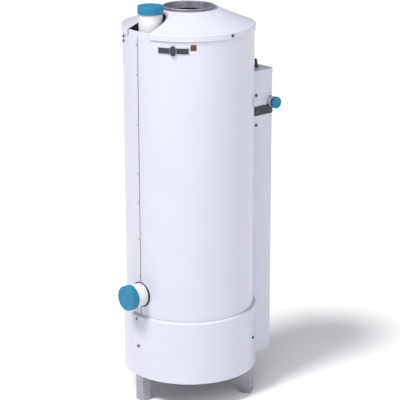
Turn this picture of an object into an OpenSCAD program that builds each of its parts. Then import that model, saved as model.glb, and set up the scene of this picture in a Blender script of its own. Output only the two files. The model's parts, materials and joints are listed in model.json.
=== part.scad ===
// Gas-fired storage water heater: round enamelled jacket on a base skirt and three
// folded legs, flue through the middle of the tank, control box down one side.
// Origin on the floor under the tank's axis. Z is up, the control box faces +X and
// the water connections face -X.

/* [Stance] */
// Height of the skirt's lower edge above the floor
leg_clear = 86; // [75:1:100]
// Turn of the first leg from +X, degrees
leg_turn = 179; // [176:1:182]
// Width of a leg's web
leg_w = 35.6; // [30:0.2:40]
// Depth of a leg's side flanges where they leave the skirt
leg_d = 35; // [32:1:38]

/* [Base skirt] */
// Outer radius of the base skirt
skirt_r = 213; // [212.5:0.5:214]
// Height of the base skirt
skirt_h = 204; // [198:1:210]
// Radius of the rounded ledge on top of the skirt
ledge_r = 6; // [4:0.5:7]

/* [Jacket] */
// Outer radius of the jacket shell
jacket_r = 203.2; // [202.8:0.1:203.4]
// Height of the jacket's upper edge above the floor
jacket_top = 1197.5; // [1190:0.5:1204]
// Thickness of the jacket, skirt and cover sheet
sheet_t = 0.9; // [0.7:0.1:1]

/* [Top cover] */
// Outer radius of the cover's skirt
cover_r = 207; // [206.6:0.1:207.4]
// Height of the cover's skirt
cover_skirt_h = 20; // [16:1:24]
// Radius of the crease where the cone starts
crease_r = 193; // [190:1:195]
// Rise of the cone from the crease to the collar
cone_rise = 44; // [38:1:46]
// Radius of the notch around the outlet pipe
notch_r = 47; // [44:1:48]

/* [Water connections] */
// Outer radius of the water nipples, 2 1/2 inch pipe
pipe_r = 36.5; // [36:0.1:37]
// Distance of the outlet nipple from the tank's axis
outlet_x = 152; // [148:0.5:152]
// Height of the inlet nipple above the floor
inlet_z = 360; // [355:1:370]
// Outer radius of the thread protector caps
cap_r = 39.5; // [39:0.1:40]
// Length of the thread protector caps
cap_l = 24.2; // [22:0.1:26]

/* [Flue] */
// Bore radius of the vent collar, 6 inch vent pipe
vent_r = 76.2; // [76:0.1:76.4]
// Outer radius of the flue tube
flue_r = 73; // [70:0.5:73.5]
// Number of bends in the flue baffle
baffle_bends = 12; // [8:1:16]

/* [Control box] */
// Distance of the box's outer face from the tank's axis
box_x = 276; // [275:0.5:277]
// Half of the box's width
box_hw = 94; // [93:0.5:95]
// Height of the box's lower edge above the floor
box_z0 = 83; // [82:1:86]
// Height of the box lid's top above the floor
box_z1 = 1031.5; // [1030:0.5:1033]
// Bend radius of the box's corners
box_bend = 14; // [12:0.5:15]

/* [Gas connection] */
// Outer radius of the gas nipple, 1 inch pipe
gas_r = 16.7; // [16.5:0.1:16.9]
// Distance of the gas nipple from the tank's axis, along X
gas_x = 268; // [267:0.5:269]
// Height of the gas nipple above the floor
gas_z = 922.6; // [920:0.2:925]

/* [Hidden] */

eps = 0.01;
$fn = 96;
enamel = [0.93, 0.94, 0.97];
galvanised = [0.72, 0.73, 0.76];
steel = [0.55, 0.56, 0.58];
cap_blue = [0.05, 0.55, 0.75];
black = [0.08, 0.08, 0.1];
brass = [0.8, 0.62, 0.3];

skirt_top = leg_clear + skirt_h;
cover_z0 = jacket_top - cover_skirt_h + 0.8;
crease_z = jacket_top + 4.5;
cone_top_r = 88;
cone_top_z = crease_z + cone_rise;
vent_crest_z = cone_top_z + 7;
vent_bead_r = 2.3;
vent_wall_z0 = cone_top_z - 16;

tank_r = 194;
tank_t = 3;
tank_z0 = 240;
tank_top = 1128;
bottom_head_z = 300;
anode_at = [110, 62];
anode_z0 = 430;
anode_r = 10.5;
flue_z1 = vent_wall_z0 - 8;
flue_t = 3;

pipe_bore = 31.35;
outlet_end = cone_top_z + 20;
inlet_end = 262;
cap_gap = 0.35;
cap_floor = 3.2;
cap_rim = 5;
cap_dish = 1.2;
grommet_r = 40;

leg_t = 2;
leg_top = tank_z0;
leg_face = sqrt(pow(skirt_r - sheet_t - 0.1, 2) - pow(leg_w / 2, 2));
leg_foot_d = leg_d - 5;
leg_screw_z = 188;
leg_turns = [leg_turn, leg_turn + 120, leg_turn + 240];

seam_turn = 180;
rivet_turn = 178.8;
rivet_heights = [421, 540, 660, 754, 909, 1063, 1156];
skirt_screw_turns = [177, 57, -33];
skirt_screw_z = skirt_top - 13;
cover_screw_turns = [-91.5, 28.5];
cover_screw_z = jacket_top - 10;
jacket_screw_turn = 153;
jacket_screw_heights = [1152, 1166];

nameplate_turn = -144.2;
nameplate_z = 1149.6;
nameplate_h = 19.8;
nameplate_angle = 27;
label_turn = -127;
label_side = 17.8;
label_z = 1159.6;

box_t = 1;
box_lip = 26;
box_skirt_gap = 0.5;
chassis_x = 214.2;
chassis_z0 = 92;
chassis_z1 = 1016;
box_screw_x = 199;
box_screw_heights = [856, 953];
strap_z = 902;
strap_h = 30;
strap_t = 2;
panel_hw = 79;
panel_screw_y = 74;
panel_screw_heights = [130, 560, 985];
gas_hole_r = 21.7;
gas_slot_r = 26;
gas_end_y = -(box_hw + 21);
elbow_y = -54;
elbow_arm = 25;
valve_x0 = 216.5;
valve_x1 = 247.4;
valve_z0 = 868;
valve_z1 = 950;
knob_z = 882;
thermostat_z = 700;
igniter_x = 238;
igniter_y = -46;
burner_tube_z = 140;
pilot_x = 224;
pilot_y = -38;
pilot_head_x = 92;
pan_top = leg_clear + 11.2;
door_hw = 70;
door_z0 = 104;
door_z1 = 236;

igniter_r = 9;
washer_t = 1.5;
button_r = 6.7;
gas_bore = 13.3;
gas_cap_r = 18.5;
gas_cap_l = 14.2;

// Male hose and pipe outlets, 3/4 inch
outlet_pin_r = 13.35;
outlet_pin_bore = 9.5;
relief_z = 1080;
relief_y = 240;
relief_r = 17;
lever_lift = 38.5;
lever_pin_r = 2.4;
drain_turn = 75;
drain_z = 326;
drain_r = 246;
drain_body_r = 17;

// ---- helpers ----

// Turns its children, drawn along +X, to an angle around the tank's axis.
module turned(angle) {
    rotate([0, 0, angle]) children();
}

// A bar along +X, starting at x.
module rod_x(x, length, r) {
    translate([x, 0, 0]) rotate([0, 90, 0]) cylinder(h = length, r = r);
}

// A bar along -Y, from y down to y - length.
module rod_y(y, length, r) {
    translate([0, y, 0]) rotate([90, 0, 0]) cylinder(h = length, r = r);
}

// A tube standing on z = 0.
module tube(r_out, r_in, h) {
    difference() {
        cylinder(h = h, r = r_out);
        translate([0, 0, -1]) cylinder(h = h + 2, r = r_in);
    }
}

// Hex washer-head sheet screw along +X. The head's seat is at x = 0.
module hex_screw(shank = 6) {
    rotate([0, 90, 0]) {
        cylinder(h = 1.1, r = 5.2, $fn = 32);
        translate([0, 0, 1]) cylinder(h = 3.2, r = 4.2, $fn = 6);
        translate([0, 0, -shank]) cylinder(h = shank + eps, r = 2, $fn = 24);
    }
}

// Hole for a hex_screw's shank, along +X about x = 0.
module screw_hole(depth = 12) {
    rod_x(-depth / 2, depth, 2.3);
}

// Points of a quarter bend about centre c, from angle a0 to a1.
function bend(c, r, a0, a1, steps = 8) =
    [for (i = [0 : steps]) let (a = a0 + (a1 - a0) * i / steps) c + r * [cos(a), sin(a)]];

// Thread protector along +Z: its skirt grips a pipe that ends at z = 0.
module thread_cap(pipe, r, length) {
    round = 2;
    translate([0, 0, cap_floor - length]) rotate_extrude() polygon(concat(
        [[pipe + cap_gap, 0], [r - 0.6, 0], [r, 0.8]],
        bend([r - round, length - round], round, 0, 90),
        [[r - cap_rim, length], [r - cap_rim - cap_dish, length - cap_dish], [0, length - cap_dish],
         [0, length - cap_floor], [pipe + cap_gap, length - cap_floor]]));
}

// Round bar through a list of points, with round corners.
module bent_bar(path, r) {
    for (i = [0 : len(path) - 2]) {
        d = path[i + 1] - path[i];
        l = norm(d);
        translate(path[i])
            rotate([0, acos(d.z / l), atan2(d.y, d.x)])
                cylinder(h = l, r = r, $fn = 32);
    }
    for (i = [1 : len(path) - 2]) {
        translate(path[i]) sphere(r = 1.04 * r, $fn = 32);
    }
}

// ---- base ----

module base_skirt() {
    color(enamel) difference() {
        rotate_extrude($fn = 180) polygon(concat(
            [[skirt_r, leg_clear]],
            bend([skirt_r - ledge_r, skirt_top - ledge_r], ledge_r, 0, 90),
            [[jacket_r + 0.4, skirt_top], [jacket_r + 0.4, skirt_top - sheet_t]],
            bend([skirt_r - ledge_r, skirt_top - ledge_r], ledge_r - sheet_t, 90, 0),
            [[skirt_r - sheet_t, leg_clear]]));
        translate([skirt_r - 40, -60, door_z0 + 6]) cube([60, 120, door_z1 - door_z0 - 12]);
        for (a = leg_turns) turned(a) translate([skirt_r, 0, leg_screw_z]) screw_hole();
        for (a = skirt_screw_turns) turned(a) translate([skirt_r, 0, skirt_screw_z]) screw_hole();
    }
}

module skirt_screws() {
    color(steel) for (a = skirt_screw_turns) {
        turned(a) translate([skirt_r, 0, skirt_screw_z]) scale(0.75) hex_screw(7);
    }
}

module base_pan() {
    pan_r = skirt_r - sheet_t - 0.4;
    pan_z = pan_top - 1.2;
    color(galvanised) difference() {
        translate([0, 0, pan_z]) {
            cylinder(h = 1.2, r = pan_r, $fn = 180);
            tube(pan_r, pan_r - 1.2, 12, $fn = 180);
        }
        for (ring = [0 : 2], i = [0 : 11]) {
            turned(i * 30 + ring * 15) translate([60 + ring * 38, 0, pan_z - 1])
                cylinder(h = 4, r = 9, $fn = 24);
        }
        for (a = leg_turns) {
            turned(a) translate([leg_face - leg_d - 1, -leg_w / 2 - 1, pan_z - 1])
                cube([leg_d + 10, leg_w + 2, 20]);
        }
    }
}

// Folded channel leg along +X, web outwards, side flanges narrowing to the foot.
module leg() {
    color(galvanised) difference() {
        union() {
            translate([leg_face - leg_t, -leg_w / 2, 0]) cube([leg_t, leg_w, leg_top]);
            for (side = [-1, 1]) {
                translate([leg_face - leg_t + eps, side * (leg_w - leg_t) / 2 + leg_t / 2, 0])
                    rotate([90, 0, 0]) linear_extrude(leg_t) polygon([
                        [0, 0], [leg_t - leg_foot_d, 0], [leg_t - leg_d, leg_clear],
                        [leg_t - leg_d, leg_top], [0, leg_top]]);
            }
        }
        translate([leg_face, 0, leg_screw_z]) screw_hole();
    }
}

module leg_inlet_side() {
    turned(leg_turns[0]) leg();
}

module leg_front() {
    turned(leg_turns[1]) leg();
}

module leg_rear() {
    turned(leg_turns[2]) leg();
}

module leg_screws() {
    color(steel) for (a = leg_turns) {
        turned(a) translate([skirt_r, 0, leg_screw_z]) hex_screw(9);
    }
}

// ---- combustion chamber ----

module heat_shield() {
    shield_r = 169;
    color(galvanised) difference() {
        translate([0, 0, pan_top]) tube(shield_r, shield_r - 1, tank_z0 - pan_top - 2);
        translate([100, -door_hw + 8, door_z0 + 6])
            cube([100, 2 * door_hw - 16, door_z1 - door_z0 - 12]);
    }
}

module burner_head() {
    z0 = burner_tube_z + 22;
    color(steel) difference() {
        translate([0, 0, z0]) rotate_extrude() polygon([
            [19.3, 0], [24, 0], [75, 18], [75, 26], [0, 29],
            [0, 26], [72, 23], [72, 20], [22, 3], [19.3, 3]]);
        for (ring = [0 : 1], i = [0 : 17]) {
            turned(i * 20 + ring * 10) translate([36 + ring * 24, 0, z0 + 18])
                cylinder(h = 20, r = 2.4, $fn = 16);
        }
    }
}

// Solid of the mixer tube: a bar with a throat and a bell mouth, and a riser at the burner.
module mixer_form(r, extra) {
    throat = r - 4;
    translate([0, 0, burner_tube_z]) {
        rotate([0, 90, 0]) rotate_extrude() polygon([
            [0, -r], [r, -r], [r, 110], [throat, 130], [throat, 145], [r + 5, 172],
            [r + 5, 172 + extra], [0, 172 + extra]]);
        cylinder(h = 24 + extra, r = r);
    }
}

module burner_mixer_tube() {
    color(steel) difference() {
        mixer_form(19, 0);
        mixer_form(17, 1);
    }
}

// Foot with two cradles that the mixer tube lies in.
module burner_bracket() {
    plate_t = 2;
    color(galvanised) difference() {
        union() {
            translate([20, -30, pan_top]) cube([32, 60, plate_t]);
            for (x = [20, 50]) {
                translate([x, -26, pan_top]) cube([plate_t, 52, burner_tube_z - pan_top]);
            }
        }
        translate([0, 0, burner_tube_z]) rod_x(0, 100, 19.1);
    }
}

module pilot_burner() {
    color(steel) translate([pilot_head_x, pilot_y, 0]) {
        translate([0, -6, 168]) cube([14, 12, 26]);
        translate([-12, -3, 186]) cube([12 + eps, 6, 5]);
        translate([7, 0, 194 - eps]) cylinder(h = 10, r = 4);
        translate([-9, 0, 191 - eps]) cylinder(h = 14, r = 2.2, $fn = 24);
    }
}

module pilot_tube() {
    color(galvanised) bent_bar([[pilot_head_x + 14, pilot_y, 182], [pilot_x, pilot_y, 190],
        [pilot_x, pilot_y, valve_z0]], 3.2);
}

module gas_orifice() {
    color(brass) translate([0, 0, burner_tube_z]) {
        rod_x(196, 22, 6);
        rod_x(178, 18 + eps, 4);
        translate([204, 0, 0]) rotate([0, 90, 0]) cylinder(h = 8, r = 9, $fn = 6);
    }
}

module gas_manifold() {
    color(galvanised) bent_bar([[236, elbow_y, valve_z0], [236, elbow_y, 230],
        [236, 0, burner_tube_z], [218, 0, burner_tube_z]], 8);
}

module burner_door() {
    color(galvanised) difference() {
        translate([chassis_x + 1.4, -door_hw, door_z0])
            cube([1.2, 2 * door_hw, door_z1 - door_z0]);
        translate([chassis_x, 0, burner_tube_z]) rod_x(-5, 20, 10);
        translate([chassis_x, pilot_y, 189.2]) rod_x(-5, 20, 6);
    }
}

// ---- tank ----

module tank_shell() {
    color(steel) difference() {
        translate([0, 0, tank_z0]) tube(tank_r, tank_r - tank_t, tank_top - tank_z0, $fn = 180);
        turned(180) translate([0, 0, inlet_z]) rod_x(150, 60, pipe_r + 0.1);
        translate([0, 0, thermostat_z]) rod_x(150, 60, 6.1);
        turned(90) translate([0, 0, relief_z]) rod_x(150, 60, 11.1);
        turned(drain_turn) translate([0, 0, drain_z]) rod_x(150, 60, 11.1);
    }
}

// A pressed head along +Z with a flange turned down inside the tank's shell.
module pressed_head(rise) {
    r = tank_r - tank_t - 0.1;
    difference() {
        rotate_extrude($fn = 180) polygon([
            [r, -22], [r, -1.5], [r - 1.5, 0], [flue_r + 0.1, rise],
            [flue_r + 0.1, rise - tank_t], [r - tank_t, -tank_t], [r - tank_t, -22]]);
        children();
    }
}

module tank_heads() {
    color(steel) {
        translate([0, 0, tank_top]) pressed_head(9) {
            translate([-outlet_x, 0, -30]) cylinder(h = 60, r = pipe_r + 0.1);
            translate(concat(anode_at, -30)) cylinder(h = 60, r = anode_r + 0.1);
        }
        translate([0, 0, bottom_head_z]) pressed_head(12);
    }
}

module flue_tube() {
    color(steel) translate([0, 0, bottom_head_z - 4])
        tube(flue_r, flue_r - flue_t, flue_z1 - bottom_head_z + 4);
}

// Folded strip that slows the flue gas, hung on a cross bar at the top of the flue.
module flue_baffle() {
    z0 = bottom_head_z + 40;
    z1 = flue_z1 - 12;
    step = (z1 - z0) / baffle_bends;
    swing = 44;
    t = 1.6;
    hang_x = (baffle_bends % 2 == 0 ? -1 : 1) * (swing - 1);
    zig = [for (i = [0 : baffle_bends]) [(i % 2 == 0 ? -1 : 1) * swing, z0 + i * step]];
    back = [for (i = [baffle_bends : -1 : 0]) zig[i] + [1.6 * t, 0]];
    color(steel) {
        translate([0, 26, 0]) rotate([90, 0, 0]) linear_extrude(52) polygon(concat(zig, back));
        translate([hang_x, 0, z1 - 4]) cylinder(h = flue_z1 - z1 + 6, r = 1.5, $fn = 24);
        translate([hang_x, 0, flue_z1 + 2.5]) rod_y(60, 120, 2.5);
    }
}

module flue_collar() {
    bead_x = vent_r + vent_bead_r;
    color(galvanised) rotate_extrude($fn = 180) polygon(concat(
        [[vent_r, vent_wall_z0], [vent_r + 1.2, vent_wall_z0], [vent_r + 1.2, cone_top_z],
         [90, cone_top_z], [90, cone_top_z + 1.2], [vent_r + 1.4, cone_top_z + 1.2]],
        bend([bead_x, vent_crest_z - vent_bead_r], vent_bead_r, -75, 180, 14)));
}

module anode_rod() {
    color(galvanised) translate(concat(anode_at, 0)) {
        translate([0, 0, anode_z0]) cylinder(h = tank_top + 7.5 - anode_z0, r = anode_r);
        translate([0, 0, tank_top + 7]) cylinder(h = 18, r = 15, $fn = 6);
    }
}

module insulation_blanket() {
    r0 = tank_r + 0.4;
    r1 = jacket_r - sheet_t - 0.4;
    color([0.85, 0.8, 0.55]) difference() {
        translate([0, 0, bottom_head_z]) tube(r1, r0, tank_top - bottom_head_z - 8, $fn = 180);
        turned(180) translate([0, 0, inlet_z]) rod_x(150, 60, grommet_r + 1);
        translate([0, 0, thermostat_z]) rod_x(150, 60, 7);
        turned(90) translate([0, 0, relief_z]) rod_x(150, 60, 13);
        turned(drain_turn) translate([0, 0, drain_z]) rod_x(150, 60, 13);
    }
}

// ---- water connections ----

module outlet_nipple() {
    color(galvanised) translate([-outlet_x, 0, tank_top - 24])
        tube(pipe_r, pipe_bore, outlet_end - tank_top + 24);
}

module outlet_cap() {
    color(cap_blue) translate([-outlet_x, 0, outlet_end])
        thread_cap(pipe_r, cap_r, cap_l);
}

module inlet_nipple() {
    color(galvanised) translate([-inlet_end, 0, inlet_z]) rotate([0, 90, 0])
        tube(pipe_r, pipe_bore, inlet_end - 175);
}

module inlet_cap() {
    color(cap_blue) translate([-inlet_end, 0, inlet_z]) rotate([0, -90, 0])
        thread_cap(pipe_r, cap_r, cap_l);
}

module inlet_grommet() {
    color(black) translate([-jacket_r + 6, 0, inlet_z]) rotate([0, -90, 0])
        tube(grommet_r - 0.2, pipe_r + 0.2, 7.5);
}

// ---- jacket ----

// Sector of the plane between angles a0 and a1, past radius r.
module wedge(a0, a1, r) {
    polygon([[0, 0], r * [cos(a0), sin(a0)], r * [cos((a0 + a1) / 2), sin((a0 + a1) / 2)],
        r * [cos(a1), sin(a1)]]);
}

// Overlapping edge of the jacket sheet: it stands proud at the seam and dies away.
module seam_lap(h) {
    lap_shift = 2.27;
    linear_extrude(h) difference() {
        intersection() {
            translate(lap_shift * [cos(200), sin(200)]) circle(r = jacket_r - 1.13, $fn = 180);
            wedge(142, seam_turn, 400);
        }
        circle(r = jacket_r - 0.4, $fn = 180);
    }
}

module jacket_shell() {
    z0 = skirt_top - 12;
    color(enamel) difference() {
        union() {
            translate([0, 0, z0]) tube(jacket_r, jacket_r - sheet_t, jacket_top - z0, $fn = 180);
            translate([0, 0, skirt_top + 0.3]) seam_lap(jacket_top - skirt_top - 0.3);
        }
        turned(180) translate([0, 0, inlet_z]) rod_x(170, 60, grommet_r);
        translate([0, 0, thermostat_z]) rod_x(170, 60, 8);
        turned(90) translate([0, 0, relief_z]) rod_x(170, 60, 14);
        turned(drain_turn) translate([0, 0, drain_z]) rod_x(170, 60, 14);
        for (z = rivet_heights) {
            turned(rivet_turn) translate([jacket_r, 0, z]) rod_x(-6, 12, 1.8);
        }
        for (z = jacket_screw_heights) {
            turned(jacket_screw_turn) translate([jacket_r, 0, z]) screw_hole();
        }
        for (a = cover_screw_turns) turned(a) translate([jacket_r, 0, cover_screw_z]) screw_hole();
    }
}

module seam_rivets() {
    head_r = 3;
    color(galvanised) for (z = rivet_heights) {
        turned(rivet_turn) translate([jacket_r + 1.1, 0, z]) rotate([0, 90, 0]) {
            rotate_extrude($fn = 24) polygon([[0, 0], [head_r, 0], [head_r * 0.85, 0.8],
                [head_r * 0.4, 1.4], [0, 1.5]]);
            translate([0, 0, -2.2]) cylinder(h = 2.2 + eps, r = 1.6, $fn = 24);
        }
    }
}

module jacket_screws() {
    color(steel) for (z = jacket_screw_heights) {
        turned(jacket_screw_turn) translate([jacket_r + 0.6, 0, z]) hex_screw(6);
    }
}

module top_cover() {
    in = sheet_t;
    notch_w = 52;
    color(enamel) difference() {
        rotate_extrude($fn = 180) polygon(concat(
            [[cover_r - in, cover_z0], [cover_r, cover_z0]],
            bend([cover_r - 5, crease_z - 8], 5, 0, 75),
            [[crease_r, crease_z], [cone_top_r, cone_top_z], [vent_r + 1.6, cone_top_z],
             [vent_r + 1.6, cone_top_z - in], [cone_top_r, cone_top_z - in],
             [crease_r, crease_z - in]],
            bend([cover_r - 5, crease_z - 8], 5 - in, 75, 0)));
        translate([-outlet_x, 0, cover_z0 - 10]) cylinder(h = 120, r = notch_r);
        translate([0, 0, cover_z0 - 10]) linear_extrude(120) polygon([
            [-outlet_x, notch_r], [-cover_r - 5, notch_w],
            [-cover_r - 5, -notch_w], [-outlet_x, -notch_r]]);
        for (a = cover_screw_turns) turned(a) translate([cover_r, 0, cover_screw_z]) screw_hole();
    }
}

module cover_screws() {
    color(steel) for (a = cover_screw_turns) {
        turned(a) translate([cover_r, 0, cover_screw_z]) hex_screw(9);
    }
}

module nameplate() {
    color(black) translate([0, 0, nameplate_z - nameplate_h / 2])
        rotate([0, 0, nameplate_turn - nameplate_angle / 2])
            rotate_extrude(angle = nameplate_angle, $fn = 180)
                translate([jacket_r + 0.2, 0]) square([1.5, nameplate_h]);
}

module nameplate_boss() {
    color(galvanised) turned(nameplate_turn) translate([jacket_r + 1.8, 0, nameplate_z])
        rotate([0, 90, 0]) rotate_extrude() polygon([
            [0, 0], [17.3, 0], [17.3, 1.4], [15.8, 2.4], [14, 2.4], [13.2, 1.4],
            [7, 1.4], [6, 2.6], [0, 3]]);
}

module rating_label() {
    angle = 2 * asin(label_side / 2 / jacket_r);
    color([0.35, 0.26, 0.18]) translate([0, 0, label_z - label_side / 2])
        rotate([0, 0, label_turn - angle / 2]) rotate_extrude(angle = angle, $fn = 180)
            translate([jacket_r + 0.05, 0]) square([0.5, label_side]);
}

// ---- control box ----

// Outline of the box seen from above, grown outwards by g.
module box_outline(g) {
    r = box_bend + g;
    union() {
        translate([170, -box_hw - g]) square([box_x - 170 - box_bend, 2 * (box_hw + g)]);
        translate([200, -box_hw + box_bend])
            square([box_x + g - 200, 2 * (box_hw - box_bend)]);
        for (side = [-1, 1]) {
            translate([box_x - box_bend, side * (box_hw - box_bend)]) circle(r = r, $fn = 64);
        }
    }
}

module box_standoffs() {
    color(galvanised) for (z = [340, 620, 960]) {
        translate([0, 0, z]) difference() {
            translate([186, -34, 0]) cube([chassis_x - 186 - 0.1, 68, 30]);
            translate([0, 0, -1]) cylinder(h = 32, r = jacket_r + 0.2, $fn = 180);
            translate([0, -30, 2]) cube([chassis_x - 1.6, 60, 26]);
        }
    }
}

// Folded pan that carries the controls, open towards the tank.
module box_chassis() {
    flange_x = 193.5;
    color(galvanised) difference() {
        translate([flange_x, -box_hw + box_t + 0.3, chassis_z0])
            cube([chassis_x + 1.2 - flange_x, 2 * (box_hw - box_t - 0.3), chassis_z1 - chassis_z0]);
        translate([flange_x - 1, -box_hw + box_t + 1.5, chassis_z0 - 1])
            cube([chassis_x - flange_x + 1, 2 * (box_hw - box_t - 1.5), chassis_z1 - chassis_z0 + 2]);
        translate([chassis_x - 1, -door_hw + 8, door_z0 + 6])
            cube([10, 2 * door_hw - 16, door_z1 - door_z0 - 12]);
        translate([chassis_x, 0, thermostat_z]) rod_x(-5, 20, 8);
        for (side = [-1, 1], z = concat(box_screw_heights, [strap_z])) {
            translate([box_screw_x, side * box_hw, z]) rod_y(6, 12, 2.3);
        }
    }
}

module box_housing() {
    lip_y = box_hw - box_lip;
    color(enamel) difference() {
        translate([0, 0, box_z0]) linear_extrude(box_z1 - 1.3 - box_z0) box_outline(0);
        translate([0, 0, box_z0 + box_t]) linear_extrude(box_z1) box_outline(-box_t);
        translate([box_x - 5, -lip_y, box_z0 + box_t]) cube([10, 2 * lip_y, box_z1]);
        translate([0, 0, skirt_top]) cylinder(h = box_z1, r = jacket_r + 0.3, $fn = 180);
        cylinder(h = skirt_top + 0.4, r = skirt_r + box_skirt_gap, $fn = 180);
        for (side = [-1, 1], z = concat(box_screw_heights, [strap_z])) {
            translate([box_screw_x, side * box_hw, z]) rod_y(6, 12, 2.3);
        }
        for (x = [214, 234]) translate([x, -box_hw, 234]) rod_y(3, 6, 1.6);
        translate([gas_x, 0, gas_z]) rod_y(-lip_y + 5, 40, gas_hole_r);
        translate([gas_x, 0, gas_z]) rod_y(-lip_y + 5, 20, gas_slot_r);
        for (side = [-1, 1], z = panel_screw_heights) {
            translate([box_x, side * panel_screw_y, z]) screw_hole();
        }
    }
}

module box_screws() {
    color(steel) for (side = [-1, 1], z = side < 0 ? box_screw_heights
            : concat(box_screw_heights, [strap_z])) {
        translate([box_screw_x, side * box_hw, z]) rotate([0, 0, side * 90]) hex_screw(6);
    }
}

module box_panel() {
    color(enamel) difference() {
        translate([box_x + 0.1, -panel_hw, box_z0 + 4])
            cube([box_t, 2 * panel_hw, box_z1 - box_z0 - 18]);
        translate([gas_x, 0, gas_z]) rod_y(elbow_y + 28, 80, gas_slot_r);
        for (side = [-1, 1], z = panel_screw_heights) {
            translate([box_x, side * panel_screw_y, z]) screw_hole();
        }
    }
}

module panel_screws() {
    color(steel) for (side = [-1, 1], z = panel_screw_heights) {
        translate([box_x + box_t + 0.1, side * panel_screw_y, z]) hex_screw(5);
    }
}

module box_lid() {
    color(enamel) difference() {
        translate([0, 0, box_z1 - 11]) linear_extrude(11) box_outline(1.2);
        translate([0, 0, box_z1 - 12]) linear_extrude(10.8) box_outline(0.2);
        cylinder(h = box_z1 + 10, r = jacket_r + 0.6, $fn = 180);
        translate([igniter_x, igniter_y, box_z1 - 5]) cylinder(h = 10, r = igniter_r + 0.2);
    }
}

// ---- gas connection ----

// Strap screwed to the box's side that cradles the gas nipple at the corner.
module gas_bracket() {
    color(black) difference() {
        translate([0, 0, strap_z - strap_h / 2]) linear_extrude(strap_h) intersection() {
            difference() {
                box_outline(strap_t + 0.2);
                box_outline(0.2);
            }
            translate([191, -box_hw - 10]) square([100, 24 - eps]);
        }
        translate([gas_x, 0, gas_z]) rod_y(-60, 60, gas_r + 0.4);
        translate([box_screw_x, -box_hw, strap_z]) rod_y(6, 12, 2.3);
    }
}

module bracket_screw() {
    color(galvanised) translate([box_screw_x, -box_hw - strap_t - 0.2, strap_z])
        rotate([0, 0, -90]) hex_screw(8);
}

module gas_nipple() {
    y0 = elbow_y - elbow_arm + 6;
    color(galvanised) translate([gas_x, y0, gas_z]) rotate([90, 0, 0])
        tube(gas_r, gas_bore, y0 - gas_end_y);
}

module gas_cap() {
    color(cap_blue) translate([gas_x, gas_end_y, gas_z]) rotate([90, 0, 0])
        thread_cap(gas_r, gas_cap_r, gas_cap_l);
}

module gas_elbow() {
    body_r = 20;
    band_r = 20.5;
    arm_x = 18;
    color(steel) translate([gas_x, elbow_y, gas_z]) difference() {
        union() {
            sphere(r = body_r);
            rod_y(0, elbow_arm, body_r);
            rod_x(-arm_x, arm_x, body_r);
            rod_y(8 - elbow_arm, 8, band_r);
        }
        rod_y(6 - elbow_arm, 10, gas_r + 0.05);
        rod_y(0, 25, 12);
        rod_x(-arm_x - 3, 10, gas_r + 0.05);
        rod_x(-arm_x, arm_x, 12);
    }
}

module gas_valve() {
    depth = valve_x1 - valve_x0;
    color([0.62, 0.63, 0.66]) {
        translate([valve_x0, elbow_y - 34, valve_z0]) cube([depth - 6, 68, valve_z1 - valve_z0]);
        translate([valve_x1 - 6 - eps, elbow_y - 16, valve_z0 + 6])
            cube([6, 46, valve_z1 - valve_z0 - 12]);
        translate([0, elbow_y, gas_z]) rod_x(valve_x1 - 1, 9, gas_r);
        translate([0, elbow_y, knob_z]) rod_x(valve_x1 - 1, 3, 9);
        translate([valve_x0 + 14, elbow_y + 18, valve_z1 - eps]) cylinder(h = 12, r = 11);
    }
}

module gas_knob() {
    color(black) translate([valve_x1 + 2.3, elbow_y, knob_z]) rotate([0, 90, 0]) difference() {
        union() {
            cylinder(h = 5, r = 15.2);
            translate([0, 0, 5 - eps]) cylinder(h = 9, r = 12.5);
        }
        for (i = [0 : 9]) rotate([0, 0, i * 36]) translate([14.4, 0, 5]) cylinder(h = 12, r = 3);
    }
}

// ---- controls ----

module thermostat_body() {
    color([0.7, 0.71, 0.74]) {
        translate([chassis_x + 1.3, -32, thermostat_z - 45]) cube([26, 64, 90]);
        translate([chassis_x + 27.3 - eps, -27, thermostat_z - 40]) cube([3, 54, 80]);
    }
}

module thermostat_dial() {
    color(black) translate([chassis_x + 30.6, 0, thermostat_z]) rotate([0, 90, 0]) union() {
        cylinder(h = 3, r = 21);
        translate([0, 0, 3 - eps]) cylinder(h = 9, r = 14);
        translate([-17, -1.5, 3 - eps]) cube([17, 3, 10]);
    }
}

module thermowell() {
    color(brass) translate([0, 0, thermostat_z]) rod_x(128, chassis_x + 1.3 - 128, 6);
}

module igniter_body() {
    color(black) translate([igniter_x, igniter_y, 0]) difference() {
        union() {
            translate([0, 0, box_z1 - 46]) cylinder(h = 46 + washer_t, r = igniter_r);
            translate([0, 0, box_z1 - 1.2 - 5]) cylinder(h = 5, r = 13, $fn = 6);
            translate([0, 0, box_z1 + washer_t]) cylinder(h = 3, r = igniter_r + 1.8);
            translate([0, 0, box_z1 + washer_t + 3 - eps]) cylinder(h = 14, r = igniter_r - 0.8);
        }
        translate([0, 0, box_z1 + 3]) cylinder(h = 30, r = button_r + 0.3);
    }
}

module igniter_washer() {
    color([0.8, 0.1, 0.15]) translate([igniter_x, igniter_y, box_z1])
        tube(igniter_r + 3.2, igniter_r + 0.1, washer_t);
}

module igniter_button() {
    color(black) translate([igniter_x, igniter_y, box_z1 + 10]) rotate_extrude() polygon(concat(
        [[0, 0], [button_r, 0]],
        bend([button_r - 1.5, 15.5], 1.5, 0, 90), [[0, 17.4]]));
}

// ---- relief and drain valves ----

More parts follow.
